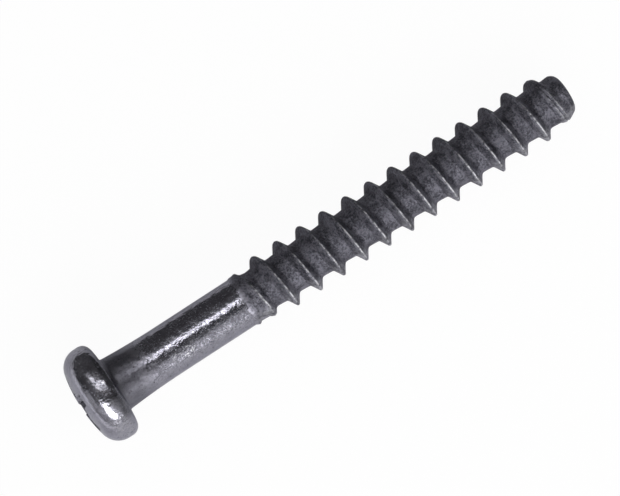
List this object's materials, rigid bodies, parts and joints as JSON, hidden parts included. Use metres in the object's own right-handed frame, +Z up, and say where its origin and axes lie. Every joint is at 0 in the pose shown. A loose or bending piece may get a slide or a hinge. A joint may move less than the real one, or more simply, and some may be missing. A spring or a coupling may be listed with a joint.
{
  "type": "pan head thread-forming screw",
  "caption": "Dark steel pan head screw with a plain upper shank, a coarse sharp right-hand thread, a blunt tip and a cross recess.",
  "frame": {"origin": "centre of the lying screw's bounding box, on the surface that it rests on", "axes": "+X from the head to the tip along the ground, +Z up; the screw's own axis leans 2.21 degrees down to the tip"},
  "size_m": [0.0438, 0.0078, 0.0079],
  "materials": {
    "dark_steel": "dark phosphate or oxide finish, semi-gloss, bluish grey"
  },
  "bodies": {
    "root": {"pan_head_screw": "dark_steel"}
  },
  "joints": []
}
